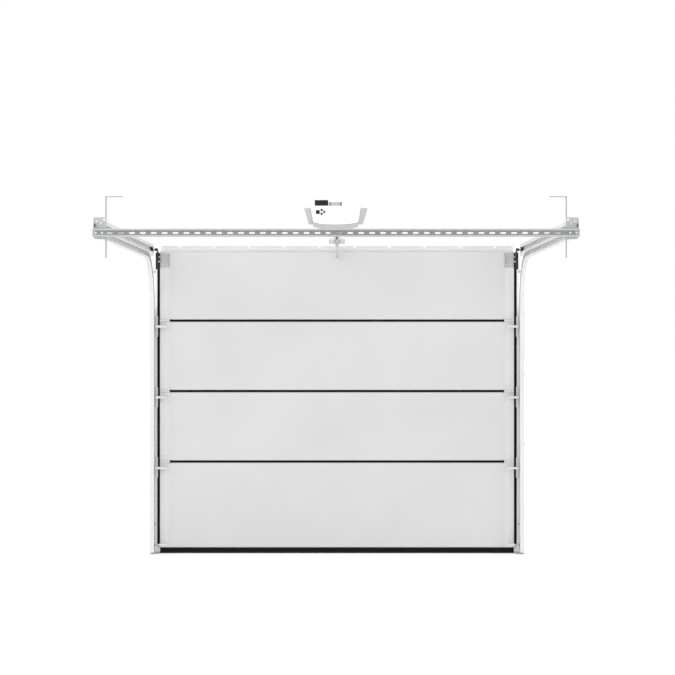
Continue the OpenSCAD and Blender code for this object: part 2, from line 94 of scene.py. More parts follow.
def soft_lamp(name, place, aim, size, power):
    """Square area lamp at place that looks at aim."""
    data = bpy.data.lights.new(name, "AREA")
    data.size = size
    data.energy = power
    lamp = bpy.data.objects.new(name, data)
    lamp.location = place
    lamp.rotation_euler = (Vector(aim) - Vector(place)).to_track_quat("-Z", "Y").to_euler()
    bpy.context.scene.collection.objects.link(lamp)


soft_lamp("key_lamp", (-3.5, -6.0, 4.6), (0.0, -0.5, 1.2), 4.0, 60.0)
soft_lamp("fill_lamp", (4.5, -5.0, 2.2), (0.0, -0.5, 1.2), 3.0, 14.0)

floor_mesh = bpy.data.meshes.new("studio_floor")
floor_mesh.from_pydata([(-90, -90, 0), (90, -90, 0), (90, 90, 0), (-90, 90, 0)], [], [(0, 1, 2, 3)])
studio_floor = bpy.data.objects.new("studio_floor", floor_mesh)
bpy.context.scene.collection.objects.link(studio_floor)
floor_paint = bpy.data.materials.new("studio_floor")
floor_paint.use_nodes = True
for floor_input, floor_value in (("Base Color", (0.97, 0.97, 0.97, 1.0)), ("Roughness", 0.9),
                                 ("Emission Color", (1.0, 1.0, 1.0, 1.0)), ("Emission Strength", 0.22)):
    floor_paint.node_tree.nodes["Principled BSDF"].inputs[floor_input].default_value = floor_value
floor_mesh.materials.append(floor_paint)

# ---------------------------------------------------------------------------
# Door sections. Each is a foam-filled steel sandwich, roll-formed with soft
# edges; the coil-coated skin carries a fine stucco embossing.
# ---------------------------------------------------------------------------
class Signal:
    """A shader socket that takes part in arithmetic."""

    def __init__(self, tree, socket):
        self.tree = tree
        self.socket = socket

    def node(self, kind, settings, inputs, out=0):
        """Adds a node: settings first, then the values or links of its sockets."""
        made = self.tree.nodes.new(kind)
        for key, value in settings.items():
            if key == "stops":
                ramp = made.color_ramp.elements
                while len(ramp) < len(value):
                    ramp.new(0.5)
                for element, (place, shade) in zip(ramp, value):
                    element.position = place
                    element.color = (shade, shade, shade, 1.0)
            else:
                setattr(made, key, value)
        for key, value in inputs.items():
            if isinstance(value, Signal):
                self.tree.links.new(value.socket, made.inputs[key])
            else:
                made.inputs[key].default_value = value
        return Signal(self.tree, made.outputs[out])

    def maths(self, operation, first, second):
        return self.node("ShaderNodeMath", {"operation": operation}, {0: first, 1: second})

    def __add__(self, other):
        return self.maths("ADD", self, other)

    def __mul__(self, other):
        return self.maths("MULTIPLY", self, other)

    def __sub__(self, other):
        return self.maths("SUBTRACT", self, other)

    def __rsub__(self, other):
        return self.maths("SUBTRACT", other, self)

    __radd__ = __add__
    __rmul__ = __mul__

    def above(self, low, high):
        """0 below low, 1 above high, smooth between."""
        return self.node("ShaderNodeMapRange", {"interpolation_type": "SMOOTHSTEP"},
                         {"Value": self, "From Min": low, "From Max": high})

    def blend(self, dark, light):
        """Colour from dark to light as this signal goes from 0 to 1."""
        return self.node("ShaderNodeMix", {"data_type": "RGBA"},
                         {"Factor": self, 6: (*dark, 1.0), 7: (*light, 1.0)}, out=2)


class Finish:
    """A procedural material under construction, on Object coordinates."""

    def __init__(self, name, **fixed):
        self.material = bpy.data.materials.new(name)
        self.material.use_nodes = True
        self.tree = self.material.node_tree
        self.shader = self.tree.nodes["Principled BSDF"]
        for key, value in fixed.items():
            self.shader.inputs[key.replace("_", " ")].default_value = value
        coords = self.tree.nodes.new("ShaderNodeTexCoord")
        self.place = Signal(self.tree, coords.outputs["Object"])

    def noise(self, scale, detail=3.0, stretch=(1.0, 1.0, 1.0)):
        """Noise of so many cells a metre, drawn out along an axis by stretch."""
        turned = self.place.node("ShaderNodeMapping", {}, {"Vector": self.place, "Scale": stretch})
        return turned.node("ShaderNodeTexNoise", {},
                           {"Vector": turned, "Scale": scale, "Detail": detail})

    def cells(self, scale, out="Distance"):
        return self.place.node("ShaderNodeTexVoronoi", {},
                               {"Vector": self.place, "Scale": scale}, out=out)

    def height(self, axis):
        """This point's X, Y or Z in metres."""
        return self.place.node("ShaderNodeSeparateXYZ", {}, {0: self.place}, out=axis)

    def relief(self, signal, depth, strength):
        """Bumps of so many metres, which feed the normal."""
        bump = signal.node("ShaderNodeBump", {},
                           {"Height": signal, "Distance": depth, "Strength": strength})
        self.set("Normal", bump)

    def set(self, name, signal):
        self.tree.links.new(signal.socket, self.shader.inputs[name])


def dress(node, finish):
    """Gives a CAD node its finish."""
    slots = frame["nodes"][node].data.materials
    slots.clear()
    slots.append(finish.material)


def coated_skin(name, dark, light, glow=0.0):
    """Coil coating on embossed sheet: stucco grain, faint clouds and dust low down; glow is painted light, an
    even emission.
    """
    skin = Finish(name, Specular_IOR_Level=0.35,
                  Emission_Color=(1.0, 1.0, 1.0, 1.0), Emission_Strength=glow)
    grain = skin.noise(260.0, 2.0)
    clouds = skin.noise(1.6, 4.0)
    dust = (1.0 - skin.height("Z").above(0.0, 0.5)) * skin.noise(9.0, 5.0)
    tone = clouds.above(0.3, 0.7) * 0.75 + grain * 0.25 - dust * 0.4
    skin.set("Base Color", tone.blend(dark, light))
    skin.set("Roughness", 0.46 + 0.12 * grain + 0.15 * dust)
    skin.relief(grain, 0.0004, 0.6)
    return skin


leaf_skin = coated_skin("leaf_skin", (0.610, 0.610, 0.610), (0.652, 0.652, 0.654))
for panel in ("top_section", "lower_sections"):
    dress(panel, leaf_skin)

# ---------------------------------------------------------------------------
# End caps and folded steel fittings of the leaf. They are stamped from sheet,
# enamelled warm grey and screwed through the caps, so every edge is eased.
# ---------------------------------------------------------------------------
enamel = Finish("warm_grey_enamel", Specular_IOR_Level=0.45)
enamel_peel = enamel.noise(420.0, 2.0)
enamel_wear = enamel.noise(38.0, 6.0).above(0.62, 0.74)
enamel.set("Base Color", (enamel.noise(7.0) * 0.8 + enamel_wear * 0.2).blend(
    (0.640, 0.635, 0.624), (0.725, 0.720, 0.708)))
enamel.set("Roughness", 0.38 + 0.16 * enamel_peel + 0.14 * enamel_wear)
enamel.relief(enamel_peel, 0.00012, 0.5)


def shown(name, mesh, body, slot, *finishes):
    """Links a finished mesh as a piece that rides on body."""
    piece = bpy.data.objects.new(name, mesh)
    bpy.context.scene.collection.objects.link(piece)
    mesh.materials.clear()
    for finish in finishes:
        mesh.materials.append(finish.material)
    mesh.shade_smooth()
    mesh.set_sharp_from_angle(angle=math.radians(34.0))
    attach(piece, body)
    return piece


def eased(node, width, slot, finish, segments=2):
    """Copy of a CAD node with its sharp edges rounded, which stands for the node."""
    shape = bmesh.new()
    shape.from_mesh(frame["nodes"][node].data)
    bmesh.ops.remove_doubles(shape, verts=shape.verts, dist=1e-6)
    bmesh.ops.dissolve_limit(shape, angle_limit=math.radians(0.5), verts=shape.verts,
                             edges=shape.edges)
    sharp = [e for e in shape.edges
             if len(e.link_faces) == 2 and e.calc_face_angle(0.0) > math.radians(40.0)]
    bmesh.ops.bevel(shape, geom=sharp, offset=width, offset_type="OFFSET", segments=segments,
                    profile=0.5, affect="EDGES", clamp_overlap=True)
    bmesh.ops.triangulate(shape, faces=[f for f in shape.faces if len(f.verts) > 4])
    mesh = bpy.data.meshes.new(node + "_eased")
    shape.to_mesh(mesh)
    shape.free()
    piece = shown(node + "_eased", mesh, frame["nodes"][node]["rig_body"], slot, finish)
    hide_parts(node)
    return piece


for panel_cap in ("top_caps", "lower_caps"):
    dress(panel_cap, enamel)
for fitting in ("hinge_upper_leaves", "side_hinges", "roller_holders", "base_brackets",
                "arm_bracket"):
    eased(fitting, 0.0006, "cream_paint", enamel)

# ---------------------------------------------------------------------------
# Screws of the leaf. Zinc-plated self-drilling screws with a hexagon head and
# a pressed washer hold every fitting on the caps.
# ---------------------------------------------------------------------------
plated = Finish("zinc_plated", Metallic=1.0)
plated_stain = plated.noise(190.0, 4.0)
plated.set("Base Color", plated_stain.blend((0.52, 0.53, 0.54), (0.80, 0.81, 0.80)))
plated.set("Roughness", 0.26 + 0.2 * plated_stain)
plated.relief(plated.noise(900.0, 2.0), 0.00005, 0.4)


def fixing_tree():
    """Geometry Nodes: a hexagon head on a washer at every point."""
    tree = bpy.data.node_groups.new("hex_fixings", "GeometryNodeTree")
    face = tree.interface
    face.new_socket("Geometry", in_out="OUTPUT", socket_type="NodeSocketGeometry")
    face.new_socket("Points", in_out="INPUT", socket_type="NodeSocketGeometry")
    for name, kind in (("Head Radius", "NodeSocketFloat"), ("Turn", "NodeSocketVector"),
                       ("Finish", "NodeSocketMaterial")):
        face.new_socket(name, in_out="INPUT", socket_type=kind)
    new, link = tree.nodes.new, tree.links.new
    given = new("NodeGroupInput").outputs

    def scaled(factor):
        times = new("ShaderNodeMath")
        times.operation = "MULTIPLY"
        link(given["Head Radius"], times.inputs[0])
        times.inputs[1].default_value = factor
        return times.outputs[0]

    joined = new("GeometryNodeJoinGeometry")
    # the head, its washer and the bare end of the shank that shows past a nut
    for corners, radius, depth, rise in ((6, 1.0, 0.85, 0.55), (20, 1.45, 0.22, 0.10),
                                         (12, 0.5, 0.3, 1.05)):
        drum = new("GeometryNodeMeshCylinder")
        drum.inputs["Vertices"].default_value = corners
        link(scaled(radius), drum.inputs["Radius"])
        link(scaled(depth), drum.inputs["Depth"])
        lift = new("ShaderNodeCombineXYZ")
        link(scaled(rise), lift.inputs["Z"])
        moved = new("GeometryNodeTransform")
        link(drum.outputs["Mesh"], moved.inputs["Geometry"])
        link(lift.outputs[0], moved.inputs["Translation"])
        link(moved.outputs[0], joined.inputs[0])
    placed = new("GeometryNodeInstanceOnPoints")
    link(given["Points"], placed.inputs["Points"])
    link(joined.outputs[0], placed.inputs["Instance"])
    turn = new("FunctionNodeEulerToRotation")
    link(given["Turn"], turn.inputs[0])
    link(turn.outputs[0], placed.inputs["Rotation"])
    real = new("GeometryNodeRealizeInstances")
    link(placed.outputs[0], real.inputs[0])
    coat = new("GeometryNodeSetMaterial")
    link(real.outputs[0], coat.inputs["Geometry"])
    link(given["Finish"], coat.inputs["Material"])
    link(coat.outputs[0], new("NodeGroupOutput").inputs[0])
    return tree


hex_fixings = fixing_tree()
TOWARDS_ROOM = (math.pi / 2, 0.0, 0.0)


def grown(name, source, tree, body, slot, finish, values):
    """Runs a Geometry Nodes tree on a source mesh or curve and keeps the plain mesh."""
    seed = bpy.data.objects.new(name + "_seed", source)
    bpy.context.scene.collection.objects.link(seed)
    modifier = seed.modifiers.new("grow", "NODES")
    modifier.node_group = tree
    for item in tree.interface.items_tree:
        if item.item_type == "SOCKET" and item.in_out == "INPUT" and item.name in values:
            modifier[item.identifier] = values[item.name]
    bpy.context.view_layer.update()
    graph = bpy.context.evaluated_depsgraph_get()
    solid = bpy.data.meshes.new_from_object(seed.evaluated_get(graph))
    seed.modifiers.remove(modifier)
    bpy.data.objects.remove(seed)
    solid.name = name
    return shown(name, solid, body, slot, finish)


def fixings(name, points, radius, turn, body, slot="steel", finish=plated):
    """Hexagon fixings at the given points, their heads turned by an Euler angle."""
    cloud = bpy.data.meshes.new(name + "_points")
    cloud.from_pydata(points, [], [])
    return grown(name, cloud, hex_fixings, body, slot, finish,
                 {"Head Radius": radius, "Turn": turn, "Finish": finish.material})


cap_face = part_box("lower_caps")[0].y           # where the fittings lie on the caps
plate_y = cap_face - 0.0020
joint_heights = [0.650, 1.150, 1.650]
sides = (-1.0, 1.0)
UP_LEAF = [(x, z) for x in (1.196, 1.245) for z in (0.016, 0.034)] + [(1.2205, 0.024)]
DOWN_LEAF = [(x, -0.026) for x in (1.196, 1.2205, 1.245)]


def hinge_screws(joint_z, leaf, body):
    """Screws of one hinge leaf on both sides of the door, given as X and height from the joint."""
    fixings(f"hinge_screws_{round(joint_z * 1000)}_{'up' if leaf is UP_LEAF else 'down'}",
            [(s * x, plate_y, joint_z + z) for s in sides for x, z in leaf], 0.0034,
            TOWARDS_ROOM, body)


for joint_z in joint_heights:
    hinge_screws(joint_z, UP_LEAF, "top_leaf" if joint_z == joint_heights[2] else "lower_leaf")
    hinge_screws(joint_z, DOWN_LEAF, "lower_leaf")
fixings("holder_screws", [(s * x, cap_face - 0.0025, z - dz) for s in sides for z in joint_heights
                          for x, dz in ((1.197, 0.066), (1.228, 0.066), (1.228, 0.072))],
        0.0034, TOWARDS_ROOM, "lower_leaf")
fixings("base_screws", [(s * x, cap_face - 0.0025, z) for s in sides for x in (1.200, 1.236)
                        for z in (0.094, 0.136, 0.150)], 0.0036, TOWARDS_ROOM, "lower_leaf")
fixings("top_bracket_screws", [(s * x, cap_face - 0.0020, z) for s in sides for x in (1.203, 1.235)
                               for z in (2.038, 2.049, 2.118)], 0.0036, TOWARDS_ROOM, "top_leaf")
fixings("arm_bracket_screws", [(x, leaf_low.y - 0.0020, z) for x in (-0.021, 0.021)
                               for z in (2.082, 2.118)], 0.0040, TOWARDS_ROOM, "top_leaf")

# ---------------------------------------------------------------------------
# Rubber of the door. Joint seals, side and top lips and the bottom tube seal
# are extruded black EPDM, pushed into their grooves.
# ---------------------------------------------------------------------------
epdm = Finish("black_epdm", Specular_IOR_Level=0.14)
epdm_bloom = epdm.noise(24.0, 6.0)
epdm.set("Base Color", epdm_bloom.blend((0.003, 0.003, 0.003), (0.010, 0.010, 0.010)))
epdm.set("Roughness", 0.5 + 0.2 * epdm_bloom)
epdm.relief(epdm.noise(700.0, 2.0, (0.04, 1.0, 1.0)), 0.0001, 0.5)


def arc(centre, radius, start, stop, steps):
    """Points of an arc in a plane, angles in degrees."""
    turns = [math.radians(start + (stop - start) * i / steps) for i in range(steps + 1)]
    return [(centre[0] + radius * math.cos(a), centre[1] + radius * math.sin(a)) for a in turns]


def extruded(name, outline, start, stop, axis="X"):
    """Closed bar with a constant outline: Y-Z points along X, or X-Z points along Y."""
    shape = bmesh.new()
    place = (lambda p, t: (t, p[0], p[1])) if axis == "X" else (lambda p, t: (p[0], t, p[1]))
    ends = [[shape.verts.new(place(p, t)) for p in outline] for t in (start, stop)]
    count = len(outline)
    for i in range(count):
        j = (i + 1) % count
        shape.faces.new((ends[0][i], ends[0][j], ends[1][j], ends[1][i]))
    for end in ends:
        shape.faces.new(end)
    bmesh.ops.recalc_face_normals(shape, faces=shape.faces)
    bmesh.ops.triangulate(shape, faces=[f for f in shape.faces if len(f.verts) > 4])
    mesh = bpy.data.meshes.new(name)
    shape.to_mesh(mesh)
    shape.free()
    return mesh


def joint_outline(low, high):
    """Two rounded beads with a groove between them, facing the room."""
    middle, bead = (low.z + high.z) / 2, (high.z - low.z) / 4
    return (arc((low.y + bead, middle - bead), bead, 270, 90, 8)[:-1]
            + arc((low.y + bead, middle + bead), bead, 270, 90, 8)
            + [(high.y, high.z), (high.y, low.z)])


joint_low, joint_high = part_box("top_joint_seal")
seal_step = joint_heights[2] - joint_heights[1]
for name, node, body_name, steps_down in (
        ("top_joint_rubber", "top_joint_seal", "top_leaf", 0),
        ("middle_joint_rubber", "lower_joint_seals", "lower_leaf", 1),
        ("bottom_joint_rubber", "lower_joint_seals", "lower_leaf", 2)):
    drop = Vector((0.0, 0.0, steps_down * seal_step))
    bead_mesh = extruded(name, joint_outline(joint_low - drop, joint_high - drop),
                         joint_low.x, joint_high.x)
    rubber_bead = shown(name, bead_mesh, body_name, "black_rubber", epdm)
    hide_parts(node)

tube_low, tube_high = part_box("bottom_seal")
tube_mid = (tube_low.y + tube_high.y) / 2
tube_half = (tube_high.y - tube_low.y) / 2
tube_outline = (arc((tube_mid - tube_half + 0.008, 0.008), 0.008, 180, 270, 6)
                + arc((tube_mid + tube_half - 0.008, 0.008), 0.008, 270, 360, 6)
                + [(tube_mid + tube_half, 0.017), (tube_mid + tube_half - 0.003, 0.020),
                   (tube_mid + tube_half, 0.023), (tube_mid + tube_half, tube_high.z),
                   (tube_mid - tube_half, tube_high.z), (tube_mid - tube_half, 0.023),
                   (tube_mid - tube_half + 0.003, 0.020), (tube_mid - tube_half, 0.017)])
tube_mesh = extruded("bottom_tube_seal", tube_outline, tube_low.x, tube_high.x)
floor_tube = shown("bottom_tube_seal", tube_mesh, "lower_leaf", "black_rubber", epdm)
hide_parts("bottom_seal")
dress("door_seals", epdm)

# ---------------------------------------------------------------------------
# Seal retainer. Dark anodised aluminium extrusion along the leaf's lower edge
# that clamps the tube seal; its face has two shallow drawn grooves.
# ---------------------------------------------------------------------------
anodised = Finish("dark_anodised", Metallic=0.6, Specular_IOR_Level=0.3)
drawn = anodised.noise(420.0, 3.0, (0.02, 1.0, 1.0))
anodised.set("Base Color", drawn.blend((0.006, 0.006, 0.006), (0.020, 0.020, 0.021)))
anodised.set("Roughness", 0.42 + 0.2 * drawn)
anodised.relief(drawn, 0.00006, 0.5)
rail_low, rail_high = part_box("seal_retainer")
groove = 0.0012
retainer_outline = [(rail_low.y, rail_low.z)]
for mid in (rail_low.z + 0.004, rail_low.z + 0.008):
    retainer_outline += [(rail_low.y, mid - groove), (rail_low.y + groove, mid),
                         (rail_low.y, mid + groove)]
retainer_outline += [(rail_low.y, rail_high.z), (rail_high.y, rail_high.z),
                     (rail_high.y, rail_low.z)]
retainer_mesh = extruded("seal_retainer_rail", retainer_outline, rail_low.x, rail_high.x)
retainer = shown("seal_retainer_rail", retainer_mesh, "lower_leaf", "dark_aluminium", anodised)
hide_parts("seal_retainer")

# ---------------------------------------------------------------------------
# Roller arms of the top corners, folded and welded steel, coloured near-black:
# painted shade, as the arms sit in shadow behind the tracks.
# ---------------------------------------------------------------------------
# painted shade: near-black base colour for the arms
black_shade_coat = Finish("black_painted_shade", Specular_IOR_Level=0.4)
black_shade_cloud = black_shade_coat.noise(60.0, 4.0)
black_shade_coat.set("Base Color", black_shade_cloud.blend((0.008, 0.008, 0.008), (0.022, 0.022, 0.023)))
black_shade_coat.set("Roughness", 0.36 + 0.18 * black_shade_cloud)
black_shade_coat.relief(black_shade_coat.noise(520.0, 2.0), 0.00008, 0.5)
eased("top_arms", 0.0006, "black_metal", black_shade_coat)
fixings("roller_arm_bolts", [(s * 1.259, -0.080, z) for s in sides for z in (2.068, 2.100)],
        0.0040, TOWARDS_ROOM, "top_leaf")

# ---------------------------------------------------------------------------
# Rollers. Each is a nylon tyre moulded on a ball bearing whose inner ring
# runs on a bright drawn stem.
# ---------------------------------------------------------------------------
nylon = Finish("black_nylon", Specular_IOR_Level=0.4)
nylon_scuff = nylon.noise(130.0, 5.0)
nylon.set("Base Color", nylon_scuff.above(0.45, 0.75).blend((0.018, 0.018, 0.019), (0.060, 0.060, 0.060)))
nylon.set("Roughness", 0.4 + 0.25 * nylon_scuff)
nylon.relief(nylon_scuff, 0.0001, 0.4)
drawn_steel = Finish("drawn_steel", Metallic=1.0)
draw_lines = drawn_steel.noise(650.0, 3.0, (0.05, 1.0, 1.0))
drawn_steel.set("Base Color", draw_lines.blend((0.40, 0.41, 0.42), (0.66, 0.67, 0.68)))
drawn_steel.set("Roughness", 0.25 + 0.22 * draw_lines)
drawn_steel.relief(draw_lines, 0.00004, 0.5)


def turned_about_x(shape, profile, middle, sides_round, slot_index=0):
    """Turns a closed X-radius outline about the X axis through middle."""
    rings = []
    for k in range(sides_round):
        a = 2 * math.pi * k / sides_round
        rings.append([shape.verts.new((x, middle[0] + r * math.cos(a), middle[1] + r * math.sin(a)))
                      for x, r in profile])
    made = []
    for k in range(sides_round):
        near, far = rings[k], rings[(k + 1) % sides_round]
        for i in range(len(profile)):
            j = (i + 1) % len(profile)
            made.append(shape.faces.new((near[i], near[j], far[j], far[i])))
    for face in made:
        face.material_index = slot_index


STEM_BORE = 0.0056                             # radius of the bearing's bore


def roller_pair(node):
    """The two rollers of one axis: tyre with a crowned tread, and the bearing's two rings."""
    low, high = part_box(node)
    middle = ((low.y + high.y) / 2, (low.z + high.z) / 2)
    tread = (high.z - low.z) / 2
    shape = bmesh.new()
    for s in sides:
        x0, x1 = s * (high.x - 0.013), s * (high.x - 0.001)
        mid, edge = (x0 + x1) / 2, (x1 - x0) / 2
        tyre = [(mid - edge, 0.0105), (mid - edge, tread - 0.0022), (mid - edge * 0.8, tread - 0.0007),
                (mid - edge * 0.4, tread), (mid + edge * 0.4, tread), (mid + edge * 0.8, tread - 0.0007),
                (mid + edge, tread - 0.0022), (mid + edge, 0.0105),
                (mid + edge * 0.55, 0.0100), (mid - edge * 0.55, 0.0100)]
        turned_about_x(shape, tyre, middle, 40)
        outer_ring = [(mid - edge * 0.62, 0.0084), (mid - edge * 0.62, 0.0103),
                      (mid + edge * 0.62, 0.0103), (mid + edge * 0.62, 0.0084)]
        inner_ring = [(mid - edge * 0.9, STEM_BORE), (mid - edge * 0.9, 0.0076),
                      (mid + edge * 0.9, 0.0076), (mid + edge * 0.9, STEM_BORE)]
        dust_shield = [(mid - edge * 0.5, 0.0074), (mid - edge * 0.5, 0.0086),
                       (mid + edge * 0.5, 0.0086), (mid + edge * 0.5, 0.0074)]
        for ring in (outer_ring, inner_ring, dust_shield):
            turned_about_x(shape, ring, middle, 28, 1)
    bmesh.ops.recalc_face_normals(shape, faces=shape.faces)
    mesh = bpy.data.meshes.new(node + "_bearing")
    shape.to_mesh(mesh)
    shape.free()
    piece = shown(node + "_bearing", mesh, frame["nodes"][node]["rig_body"], "black_plastic",
                  nylon, drawn_steel)
    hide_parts(node)


for axis_node in ("rollers_top", "rollers_upper", "rollers_middle", "rollers_lower", "rollers_base"):
    roller_pair(axis_node)
for stem_node in ("top_stems", "roller_stems"):
    eased(stem_node, 0.0008, "steel", drawn_steel)

# ---------------------------------------------------------------------------
# Tracks and galvanised sheet parts. Hot-dip zinc shows a faint crystal
# pattern, drawn lines along the rolled sheet and a few dull rub marks.
# ---------------------------------------------------------------------------
def zinc_coat(name, dark, light):
    """Galvanised sheet: zinc crystals of a few millimetres under a dull film."""
    coat = Finish(name, Metallic=0.12, Specular_IOR_Level=0.4)
    crystal_tint = coat.cells(150.0, "Color")
    crystal = crystal_tint.node("ShaderNodeRGBToBW", {}, {0: crystal_tint})
    film = coat.noise(5.0, 5.0)
    rub = coat.noise(16.0, 6.0, (1.0, 0.2, 0.2)).above(0.60, 0.72)
    tone = crystal * 0.45 + film * 0.55 - rub * 0.15
    coat.set("Base Color", tone.blend(dark, light))
    coat.set("Roughness", 0.42 + 0.16 * crystal - 0.10 * rub)
    coat.relief(crystal + coat.noise(800.0, 2.0) * 0.5, 0.00006, 0.5)
    return coat


zinc = zinc_coat("bright_galvanised", (0.65, 0.655, 0.66), (0.81, 0.815, 0.82))
# Two darker copies of the same zinc: painted shade for the rear crossbar, corner plates and top brackets; the
# ceiling hangers are darker still.
zinc_painted_shade = zinc_coat("galvanised_painted_shade", (0.40, 0.405, 0.41), (0.53, 0.535, 0.54))
dark_zinc = zinc_coat("dark_galvanised", (0.31, 0.315, 0.32), (0.42, 0.425, 0.43))
for side in ("left", "right"):
    dress(f"curved_track_{side}", zinc)
    for run in ("vertical", "lower", "upper"):
        eased(f"{run}_track_{side}", 0.0004, "zinc", zinc, 1)
for sheet_part in ("corner_plates", "rear_crossbar"):
    dress(sheet_part, zinc_painted_shade)
dress("ceiling_hangers", dark_zinc)
eased("top_brackets", 0.0006, "zinc", zinc_painted_shade)

# ---------------------------------------------------------------------------
# Wall posts and lintel strip. Roll-formed angles, powder-coated white and
# anchored with plated bolts. The posts' face towards the room is painted
# lighter and glows: painted light for the shaded recess beside the leaf.
# ---------------------------------------------------------------------------
# painted light: emission on the posts' face towards the room, set by the mask below
powder = Finish("white_powder_coat_painted_light", Specular_IOR_Level=0.4, Emission_Strength=0.28)
peel = powder.noise(520.0, 2.0)
powder_dust = (1.0 - powder.height("Z").above(0.0, 0.35)) * powder.noise(14.0, 5.0)
ROOM_FACE = -0.0025                            # Y of the posts' face towards the room
post_y = powder.height("Y")
# painted light mask: 1 on the posts' face towards the room, which gets a lighter base colour and glows; the
# other faces stay darker
painted_light_face = (post_y.above(ROOM_FACE - 0.0005, ROOM_FACE - 0.0001)
             * (1.0 - post_y.above(ROOM_FACE + 0.0005, ROOM_FACE + 0.0015)))
powder.set("Base Color", (powder.noise(3.0, 4.0) * 0.3 + painted_light_face * 0.7 - powder_dust * 0.4).blend(
    (0.64, 0.64, 0.64), (0.88, 0.88, 0.88)))
powder.set("Emission Color", painted_light_face.blend((0.0, 0.0, 0.0), (1.0, 1.0, 1.0)))
powder.set("Roughness", 0.40 + 0.15 * peel + 0.2 * powder_dust)
powder.relief(peel, 0.00012, 0.5)
eased("wall_posts", 0.0005, "white_paint", powder, 1)
# painted light: the lintel strip gets a lighter copy of the leaf's coating that also glows, to brighten the
# strip in the shade above the leaf
dress("lintel_strip", coated_skin("lintel_skin_painted_light", (0.74, 0.74, 0.735), (0.80, 0.80, 0.795), 0.12))
fixings("wall_anchors", [(s * 1.302, ROOM_FACE, z) for s in sides for z in (0.2, 1.1, 2.0)],
        0.0075, TOWARDS_ROOM, "frame")
# painted light: the lintel anchors' white enamel glows so their heads show bright in the shade of the lintel
glowing_white_enamel = Finish("white_anchor_enamel_glowing", Specular_IOR_Level=0.4,
                      Emission_Color=(1.0, 1.0, 1.0, 1.0), Emission_Strength=0.28)
anchor_speck = glowing_white_enamel.noise(300.0, 3.0)
glowing_white_enamel.set("Base Color", anchor_speck.blend((0.82, 0.82, 0.82), (0.90, 0.90, 0.90)))
glowing_white_enamel.set("Roughness", 0.38 + 0.12 * anchor_speck)
LINTEL_STEP, LINTEL_Z = 0.25, 2.173            # spacing and height of the lintel's anchors
fixings("lintel_anchors", [(LINTEL_STEP * (i + 0.5), ROOM_FACE, LINTEL_Z) for i in range(-5, 5)],
        0.0055, TOWARDS_ROOM, "frame", "white_paint", glowing_white_enamel)
FACING = {1.0: (0.0, math.pi / 2, 0.0), -1.0: (0.0, -math.pi / 2, 0.0)}
for s, label in ((-1.0, "left"), (1.0, "right")):
    fixings(f"track_bolts_{label}",
            [(s * 1.3205, y, z) for z in (0.300, 0.780, 1.275, 1.700) for y in (-0.075, -0.105)],
            0.0060, FACING[s], "frame")
    fixings(f"splice_bolts_{label}", [(s * 1.318, y, z) for y in (-0.490, -0.520, -1.4, -2.36, -2.42)
                                      for z in (2.102, 2.148)], 0.0056, FACING[s], "frame")

# ---------------------------------------------------------------------------
# Rear corners. Bolts through the crossbar's ends, a forged eye bolt at each
# outer corner, and nuts where the ceiling hangers meet the tracks.
# ---------------------------------------------------------------------------
bar_low, bar_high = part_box("rear_crossbar")
dress("frame_bolts", plated)
forged = Finish("forged_steel", Metallic=0.8)
scale_marks = forged.noise(160.0, 5.0)
forged.set("Base Color", scale_marks.blend((0.08, 0.08, 0.085), (0.20, 0.20, 0.21)))
forged.set("Roughness", 0.42 + 0.25 * scale_marks)
forged.relief(scale_marks, 0.00015, 0.6)


def eye_bolt(name, place, ring_r, wire_r):
    """Forged eye with its collar and threaded shank, lying along Y."""
    shape = bmesh.new()
    steps_round, steps_wire = 32, 12
    loops = []
    for i in range(steps_round):
        a = 2 * math.pi * i / steps_round
        loops.append([])
        for k in range(steps_wire):
            b = 2 * math.pi * k / steps_wire
            reach = ring_r + wire_r * math.cos(b)
            loops[-1].append(shape.verts.new((place.x + wire_r * math.sin(b),
                                              place.y + reach * math.cos(a),
                                              place.z + reach * math.sin(a))))
    for i in range(steps_round):
        for k in range(steps_wire):
            j, m = (i + 1) % steps_round, (k + 1) % steps_wire
            shape.faces.new((loops[i][k], loops[j][k], loops[j][m], loops[i][m]))
    shank = [(0.0, wire_r * 1.7), (0.004, wire_r * 1.7), (0.0045, wire_r * 1.1),
             (0.030, wire_r * 1.1), (0.031, wire_r * 0.9)]
    rings = [[shape.verts.new((place.x + r * math.cos(2 * math.pi * k / 16), place.y + ring_r + d,
                               place.z + r * math.sin(2 * math.pi * k / 16))) for k in range(16)]
             for d, r in shank]
    for near, far in zip(rings, rings[1:]):
        for k in range(16):
            shape.faces.new((near[k], near[(k + 1) % 16], far[(k + 1) % 16], far[k]))
    shape.faces.new(rings[0])
    shape.faces.new(rings[-1])
    bmesh.ops.recalc_face_normals(shape, faces=shape.faces)
    mesh = bpy.data.meshes.new(name)
    shape.to_mesh(mesh)
    shape.free()
    return shown(name, mesh, "frame", "steel", forged)


for s, label in ((-1.0, "left"), (1.0, "right")):
    eye_bolt(f"anchor_eye_{label}", Vector((s * 1.326, bar_low.y + 0.014, 2.150)), 0.0080, 0.0026)
    fixings(f"corner_plate_bolts_{label}",
            [(s * x, bar_high.y - 0.0005, z) for x, z in ((1.290, 2.164), (1.312, 2.172))],
            0.0052, TOWARDS_ROOM, "frame")
    fixings(f"hanger_nuts_{label}", [(s * 1.303, bar_high.y + 0.110, 2.1707)],
            0.0060, (0.0, 0.0, 0.0), "frame")

# ---------------------------------------------------------------------------
# Opener rail and its brackets. The rail is a rolled zinc channel with its slot
# underneath; a fork on the wall and a saddle on the crossbar carry it.
# ---------------------------------------------------------------------------
eased("opener_rail", 0.0008, "zinc", zinc)
eased("header_bracket", 0.0007, "zinc", zinc)
eased("rail_clamp", 0.0007, "white_paint", powder)
fixings("header_anchors", [(s * 0.050, -0.004, 2.217) for s in sides], 0.0062, TOWARDS_ROOM, "frame")
fixings("clamp_bolts", [(s * 0.027, bar_high.y, z) for s in sides for z in (2.103, 2.150, 2.180)],
        0.0050, (-math.pi / 2, 0.0, 0.0), "frame")

